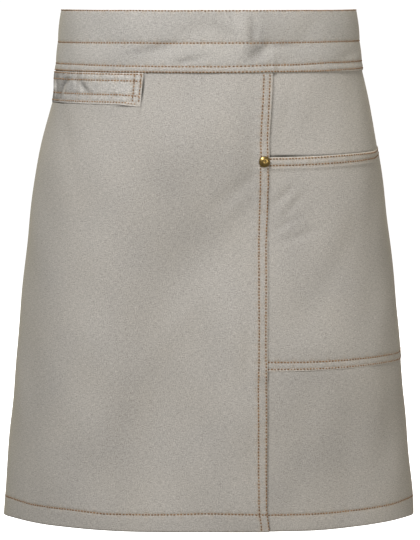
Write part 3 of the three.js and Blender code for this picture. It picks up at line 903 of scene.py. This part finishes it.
def thread(name, dark, light):
    """Twisted copper-brown cotton thread."""
    n = Nodes(name)
    uv = n.add("ShaderNodeUVMap", uv_map="pattern").outputs["UV"]
    pattern = n.scaled(uv, TO_MM)
    axes = n.add("ShaderNodeSeparateXYZ", {"Vector": pattern})
    aslant = n.math("ADD", axes.outputs["X"], axes.outputs["Y"])
    twist = n.math("SINE", n.math("MULTIPLY", aslant, THREAD_TWIST))
    fade = n.noise(pattern, 0.16, 3.0, 0.6)
    mix = n.add("ShaderNodeMix", {"Factor": n.ramp(fade, 0.3, 0.7, 0.0, 1.0)}, data_type="RGBA")
    mix.inputs["A"].default_value = (*dark, 1)
    mix.inputs["B"].default_value = (*light, 1)
    shade = n.add("ShaderNodeVectorMath", {0: mix.outputs["Result"]}, operation="SCALE")
    n.tree.links.new(n.ramp(twist, -1, 1, 0.85, 1.12), shade.inputs["Scale"])
    bump = n.add("ShaderNodeBump", {"Height": twist, "Strength": 0.3, "Distance": 0.0001})
    rough = n.ramp(fade, 0.3, 0.7, 0.55, 0.75)
    n.set(Base_Color=shade.outputs["Vector"], Roughness=rough, Normal=bump.outputs["Normal"])
    n.set(Sheen_Weight=0.2, Sheen_Roughness=0.5)
    return n.material


def worn_brass(name, bright, dull):
    """Brass with a warm, uneven patina and fine scratches."""
    n = Nodes(name)
    place = n.add("ShaderNodeTexCoord").outputs["Object"]
    tarnish = n.noise(place, 900.0, 4.0, 0.6)
    scratch = n.noise(n.scaled(place, (4000, 400, 900)), 1.0, 2.0, 0.5)
    mix = n.add("ShaderNodeMix", {"Factor": n.ramp(tarnish, 0.35, 0.7, 0.0, 1.0)}, data_type="RGBA")
    mix.inputs["A"].default_value = (*bright, 1)
    mix.inputs["B"].default_value = (*dull, 1)
    bump = n.add("ShaderNodeBump", {"Height": scratch, "Strength": 0.15, "Distance": 0.00005})
    rough = n.ramp(tarnish, 0.3, 0.75, 0.24, 0.5)
    n.set(Base_Color=mix.outputs["Result"], Roughness=rough, Normal=bump.outputs["Normal"], Metallic=0.84)
    return n.material


panel_canvas = canvas("panel_canvas", colour=(0.418, 0.399, 0.378), seed=0.0)
band_canvas = canvas("band_canvas", colour=(0.421, 0.407, 0.391), seed=3.1)
strap_canvas = canvas("strap_canvas", colour=(0.506, 0.49, 0.468), seed=5.7, sheen=0.04)
copper_thread = thread("copper_thread", dark=(0.135, 0.066, 0.028), light=(0.32, 0.178, 0.076))
strap_thread = thread("strap_thread", dark=(0.17, 0.09, 0.04), light=(0.38, 0.23, 0.115))
brass = worn_brass("worn_brass", bright=(0.43, 0.3, 0.1), dull=(0.185, 0.12, 0.047))

# Cloth pieces

# Spacing of each grid across and down
BAND_GRID = (2.4, 0.75)
PANEL_GRID = (3.0, 2.8)
POCKET_GRID = (2.4, 2.2)
LOOP_GRID = (1.4, 1.1)
TIE_GRID = (1.4, 1.3)

# Close places of the grid beside an edge that lies on the cloth, and across the stitched rows
FINE = np.arange(-1.2, 3.7, 0.8)
LAP_FINE = np.arange(SEAM_START, SEAM_EDGE, 0.8)
HEM_FINE = (APRON_LENGTH - HEM, *np.arange(479.5, 485.6, 0.7))
RIVET_FINE = RIVET_FOOT + np.arange(-1.4, 3.0, 0.7)
SLIT_FINE = (*(MOUTH - 3.5 + FINE), *(MOUTH - 1.5 + FINE))
MOUTH_FINE = (141.6, *np.arange(145.4, 148.6, 0.6), MOUTH + MOUTH_HEM)
FOOT_FINE = np.arange(335.6, 344.6, 0.6)

band = cloth(
    "waistband",
    stations(-HALF, HALF, BAND_GRID[0], (SEAM_START - GAP, SEAM_EDGE)),
    stations(0.0, BAND_HEIGHT, BAND_GRID[1], (LIP_TOP, LIP_TOP + LIP_STEP, BAND_ROWS[0])),
    band_inner,
    band_outer,
    band_canvas,
)
front = cloth(
    "front_panel",
    stations(
        -HALF, SEAM_EDGE, PANEL_GRID[0], (SEAM_START - GAP, *LAP_FINE, -HALF + SIDE_ROW, *(LOOP_FRONT + FINE))
    ),
    stations(PANEL_TOP, APRON_LENGTH, PANEL_GRID[1], (*HEM_FINE, *(LOOP_LOW + FINE), *RIVET_FINE)),
    front_inner,
    front_outer,
    panel_canvas,
)
side = cloth(
    "side_panel",
    stations(SEAM_START, HALF, PANEL_GRID[0], (HALF - SIDE_ROW, *(SEAM_EDGE + FINE))),
    stations(PANEL_TOP, APRON_LENGTH, PANEL_GRID[1], (*HEM_FINE, *SLIT_FINE)),
    hem_turn,
    side_outer,
    panel_canvas,
)
pocket = cloth(
    "pocket",
    stations(
        SEAM_START,
        POCKET_END,
        POCKET_GRID[0],
        (*(SEAM_EDGE + FINE), *(POCKET_END - inset for inset in POCKET_SIDE_ROWS)),
    ),
    stations(MOUTH, POCKET_LOW, POCKET_GRID[1], (*MOUTH_FINE, *FOOT_FINE)),
    pocket_inner,
    pocket_outer,
    panel_canvas,
    place=pocket_place,
)
loop = cloth(
    "towel_loop",
    stations(LOOP_BACK, LOOP_FRONT, LOOP_GRID[0], [LOOP_FRONT - inset for inset in LOOP_END_ROWS]),
    stations(BAND_HEIGHT + GAP, LOOP_LOW, LOOP_GRID[1], LOOP_ROWS),
    loop_inner,
    loop_outer,
    strap_canvas,
    place=loop_place,
)


def tie_place(share, drop):
    """The tie runs behind the back from one end of the band to the other."""
    start = HALF - TIE_LAP
    return start + share / TIE_SHARES * (2 * half_girth(drop) - 2 * start), drop


tie = cloth(
    "back_tie",
    stations(0.0, TIE_SHARES, TIE_GRID[0]),
    stations(TIE_TOP, TIE_TOP + TIE_WIDTH, TIE_GRID[1]),
    tie_inner,
    tie_outer,
    strap_canvas,
    place=tie_place,
)
for piece, node in (
    (band, "waistband"),
    (front, "front_panel"),
    (side, "side_panel"),
    (pocket, "pocket"),
    (loop, "towel_loop"),
    (tie, "back_tie"),
):
    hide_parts(node)

# Thread, also on the body side of the band's upper rows and the panels' hems

stitches("waistband", ROWS["waistband"], band_outer, copper_thread)
stitches("front_panel", ROWS["front_panel"], front_outer, copper_thread)
stitches("side_panel", ROWS["side_panel"], side_outer, copper_thread)
stitches("pocket", ROWS["pocket"], pocket_outer, copper_thread, place=pocket_place)
stitches("towel_loop", ROWS["towel_loop"], loop_outer, strap_thread, place=loop_place)
stitches("waistband", steps(PATHS["waistband"][:2]), band_inner, copper_thread, inner=True)
stitches("front_panel", steps(PATHS["front_panel"][2:4]), front_inner, copper_thread, inner=True)
stitches("side_panel", ROWS["side_panel"], hem_turn, copper_thread, inner=True)
stitches("back_tie", ROWS["back_tie"], tie_outer, copper_thread, place=tie_place)

# Rivet

RIVET_SIDES = 40


def lathe(name, profile, sides, material):
    """A turned solid on the cloth's outward direction at the rivet; the profile runs axis to axis."""
    around, drop = np.array([RIVET_AROUND]), np.array([RIVET_DROP])
    base, up = skin(around, drop)[0], outward_at(around, drop)[0]
    right = np.cross(up, (0.0, 0.0, 1.0))
    right /= np.linalg.norm(right)
    other = np.cross(up, right)
    points = [base + up * profile[0][1]]
    for radius, height in profile[1:-1]:
        for k in range(sides):
            turn = 2 * math.pi * k / sides
            points.append(base + up * height + radius * (right * math.cos(turn) + other * math.sin(turn)))
    points.append(base + up * profile[-1][1])
    faces = [(0, 1 + k, 1 + (k + 1) % sides) for k in range(sides)]
    for ring in range(len(profile) - 3):
        low, high = 1 + ring * sides, 1 + (ring + 1) * sides
        for k in range(sides):
            n = (k + 1) % sides
            faces.append((low + k, high + k, high + n, low + n))
    last = len(points) - 1
    low = last - sides
    faces += [(last, low + (k + 1) % sides, low + k) for k in range(sides)]
    points = np.array(points)
    return new_object(name, points, faces, points[:, :2], {}, material)


seat = float(front_outer(np.array([RIVET_AROUND]), np.array([RIVET_DROP]))[0])
rivet_profile = [
    (0.0, -1.5),
    (3.8, -1.5),
    (4.2, -1.2),
    (4.2, -0.6),
    (1.5, -0.5),
    (1.5, seat + 0.3),
    (RIVET_CAP_RADIUS - 0.3, seat + 0.35),
    (RIVET_CAP_RADIUS, seat + 0.65),
    (RIVET_CAP_RADIUS - 0.05, seat + 1.05),
    (RIVET_CAP_RADIUS - 0.4, seat + 1.4),
    (RIVET_CAP_RADIUS - 1.0, seat + 1.85),
    (RIVET_CAP_RADIUS - 1.9, seat + 2.4),
    (RIVET_CAP_RADIUS - 2.8, seat + 2.8),
    (1.7, seat + 3.0),
    (1.35, seat + 3.02),
    (1.1, seat + 2.85),
    (0.7, seat + 2.7),
    (0.0, seat + 2.66),
]
rivet = lathe("rivet_brass", rivet_profile, RIVET_SIDES, brass)
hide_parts("rivet")

# Stage: pale floor, soft studio light and the photograph's viewing angle

FLOOR = -0.56
FLOOR_REACH = 9.0
CURVE = 2.0
FLOOR_GLOW = 0.9
CAMERA_PLACE = (0.00148, -3.1, 0.0556)
CAMERA_TILT = 5.226
CAMERA_LENS = 209.18
AMBIENT = (1, 0.95, 0.86, 1)
AMBIENT_STRENGTH = 0.15

# Square lights: name, place, target, side length in metres, power in watts, colour
LIGHTS = (
    ("key", (-0.85, -1.9, 2.1), (0, 0, -0.15), 1.0, 87.5, (1, 1, 1)),
    ("fill", (1.9, -2.4, 0.2), (0, 0, -0.2), 1.6, 35.0, (1, 0.96, 0.89)),
    ("back", (0.4, 2.4, 1.2), (0, 0, -0.2), 1.6, 60.0, (1, 0.96, 0.9)),
)


def stage_material():
    """A pale, evenly lit floor."""
    n = Nodes("pale_floor")
    grain = n.noise(n.add("ShaderNodeTexCoord").outputs["Object"], 3.0, 3.0, 0.5)
    pale = n.add("ShaderNodeMix", {"Factor": grain}, data_type="RGBA")
    pale.inputs["A"].default_value = (0.90, 0.90, 0.90, 1)
    pale.inputs["B"].default_value = (0.92, 0.92, 0.92, 1)
    n.set(Base_Color=pale.outputs["Result"], Roughness=0.9)
    n.set(Emission_Color=(1, 1, 1, 1), Emission_Strength=FLOOR_GLOW)
    return n.material


def sweep():
    """A floor that curves up into a back wall."""
    turns = np.linspace(0.1, math.pi / 2, 14)
    profile = [(-FLOOR_REACH, FLOOR), (FLOOR_REACH, FLOOR)]
    profile += [(FLOOR_REACH + CURVE * math.sin(t), FLOOR + CURVE * (1 - math.cos(t))) for t in turns]
    profile.append((FLOOR_REACH + CURVE, FLOOR_REACH))
    points = [(x, y, z) for y, z in profile for x in (-FLOOR_REACH, FLOOR_REACH)]
    faces = [(2 * k, 2 * k + 1, 2 * k + 3, 2 * k + 2) for k in range(len(profile) - 1)]
    mesh = bpy.data.meshes.new("floor")
    mesh.from_pydata(points, [], faces)
    mesh.polygons.foreach_set("use_smooth", [True] * len(mesh.polygons))
    mesh.materials.append(stage_material())
    thing = bpy.data.objects.new("floor", mesh)
    bpy.context.scene.collection.objects.link(thing)
    thing.visible_diffuse = False
    thing.visible_shadow = False
    thing.visible_glossy = False


def area_light(name, place, target, size, power, colour):
    """A square light that faces its target."""
    data = bpy.data.lights.new(name, "AREA")
    data.shape = "RECTANGLE"
    data.size = data.size_y = size
    data.energy = power
    data.color = colour
    lamp = bpy.data.objects.new(name, data)
    bpy.context.scene.collection.objects.link(lamp)
    direction = np.array(target) - np.array(place)
    direction /= np.linalg.norm(direction)
    lamp.location = place
    lamp.rotation_euler = (
        math.acos(-direction[2]),
        0.0,
        math.atan2(direction[1], direction[0]) - math.pi / 2,
    )


sweep()
for light in LIGHTS:
    area_light(*light)

world = bpy.data.worlds.new("studio")
world.use_nodes = True
world.node_tree.nodes["Background"].inputs["Color"].default_value = AMBIENT
world.node_tree.nodes["Background"].inputs["Strength"].default_value = AMBIENT_STRENGTH
bpy.context.scene.world = world

camera_data = bpy.data.cameras.new("camera")
camera_data.lens = CAMERA_LENS
camera_data.sensor_width = 36.0
camera_data.clip_end = 100.0
camera = bpy.data.objects.new("camera", camera_data)
camera.location = CAMERA_PLACE
camera.rotation_euler = (math.radians(90 - CAMERA_TILT), 0.0, 0.0)
bpy.context.scene.collection.objects.link(camera)
bpy.context.scene.camera = camera
bpy.context.scene.view_settings.view_transform = "Standard"
